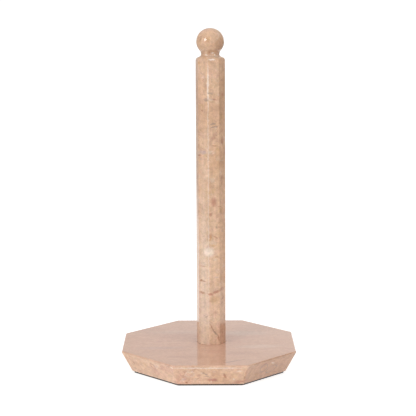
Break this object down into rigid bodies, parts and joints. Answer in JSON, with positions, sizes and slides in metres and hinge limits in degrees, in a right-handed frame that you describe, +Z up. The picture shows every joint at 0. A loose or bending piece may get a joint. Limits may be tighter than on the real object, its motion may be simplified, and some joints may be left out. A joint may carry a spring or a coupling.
{
  "type": "paper towel holder",
  "caption": "Free-standing stone paper towel holder: an octagonal post with a ball finial on a heavy octagonal slab, for an upright roll.",
  "frame": {"origin": "centre of the anti-slip pad's lower face, where the holder stands", "axes": "+Z up along the post; the slab's flat sides face +X, -X, +Y and -Y"},
  "size_m": [0.1598, 0.1604, 0.3138],
  "materials": {
    "marble": "polished",
    "rubber": "matte",
    "steel": "satin",
    "brass": "satin",
    "fibre": "matte",
    "epoxy": "gloss"
  },
  "bodies": {
    "root": {"base_slab": "marble", "post_shaft": "marble", "ball_finial": "marble", "anti_slip_pad": "rubber", "clamp_bolt": "steel", "spring_washer": "steel", "flat_washer": "steel", "fibre_washer": "fibre", "threaded_insert": "brass", "insert_epoxy": "epoxy", "finial_pin": "steel", "finial_epoxy": "epoxy"}
  },
  "joints": []
}
